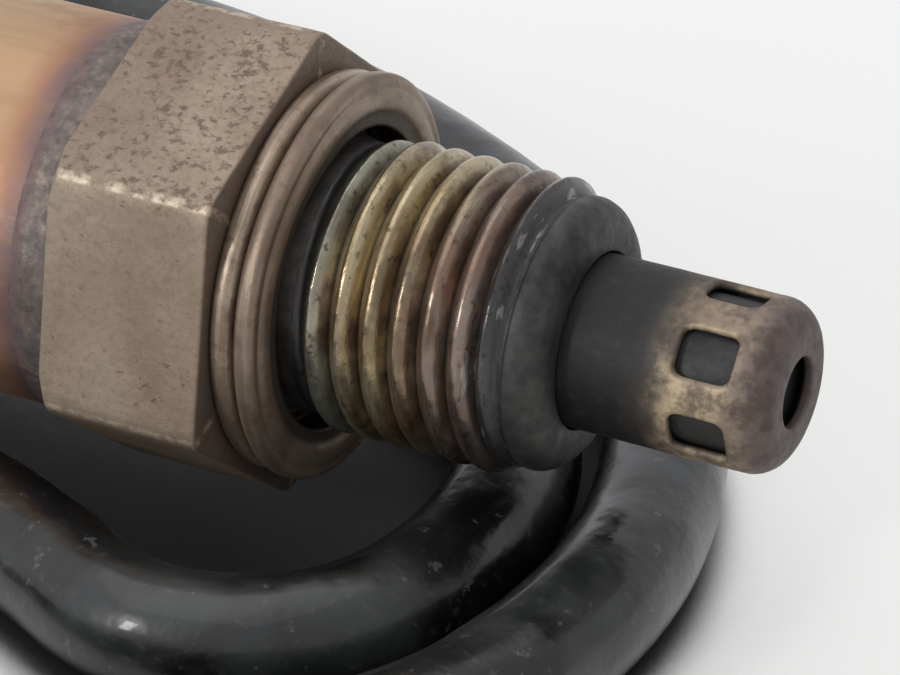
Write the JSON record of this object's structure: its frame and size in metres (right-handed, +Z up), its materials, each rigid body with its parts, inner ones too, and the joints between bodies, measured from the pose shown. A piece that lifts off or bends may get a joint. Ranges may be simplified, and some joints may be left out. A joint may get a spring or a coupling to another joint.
{
  "type": "oxygen sensor",
  "caption": "Exhaust oxygen sensor with an M12 threaded shell, hexagon, folded gasket and windowed protector tube, lying on its own looped cable with a connector.",
  "frame": {"origin": "on the sensor's axis, in the hexagon's front face where the gasket seats", "axes": "+X along the sensor's axis towards its tip, +Z up with the sensor lying on its cable"},
  "size_m": [0.1345, 0.0647, 0.0219],
  "materials": {
    "shell_steel": "oxidised, fine pits",
    "gasket_steel": "worn, drawn marks",
    "protector_steel": "sooted, tan deposit by the windows",
    "inner_protector_steel": "sooted",
    "sleeve_steel": "heat-tinted bronze",
    "ceramic": "fired, matte",
    "talc": "pressed powder",
    "ring_steel": "plain",
    "contact_metal": "plated",
    "grommet_rubber": "satin",
    "wire_insulation": "satin",
    "cable_sleeve": "glossy black",
    "shrink_cap": "satin",
    "housing_plastic": "moulded, fine grain",
    "seal_rubber": "satin",
    "lock_plastic": "moulded"
  },
  "bodies": {
    "root": {"hex_shell": "shell_steel", "seat_gasket": "gasket_steel", "outer_protector": "protector_steel", "inner_protector": "inner_protector_steel", "sensing_element": "ceramic", "front_ceramic": "ceramic", "talc_ring": "talc", "rear_ceramic": "ceramic", "press_ring": "ring_steel", "rear_sleeve": "sleeve_steel", "contact_holder": "ceramic", "contact_terminals": "contact_metal", "holder_spring": "ring_steel", "grommet": "grommet_rubber", "sensor_wires": "wire_insulation", "cable": "cable_sleeve", "cable_cap": "shrink_cap", "connector_wires": "wire_insulation", "wire_seals": "seal_rubber", "connector_housing": "housing_plastic", "face_seal": "seal_rubber", "front_lock": "lock_plastic", "connector_terminals": "contact_metal"}
  },
  "joints": []
}
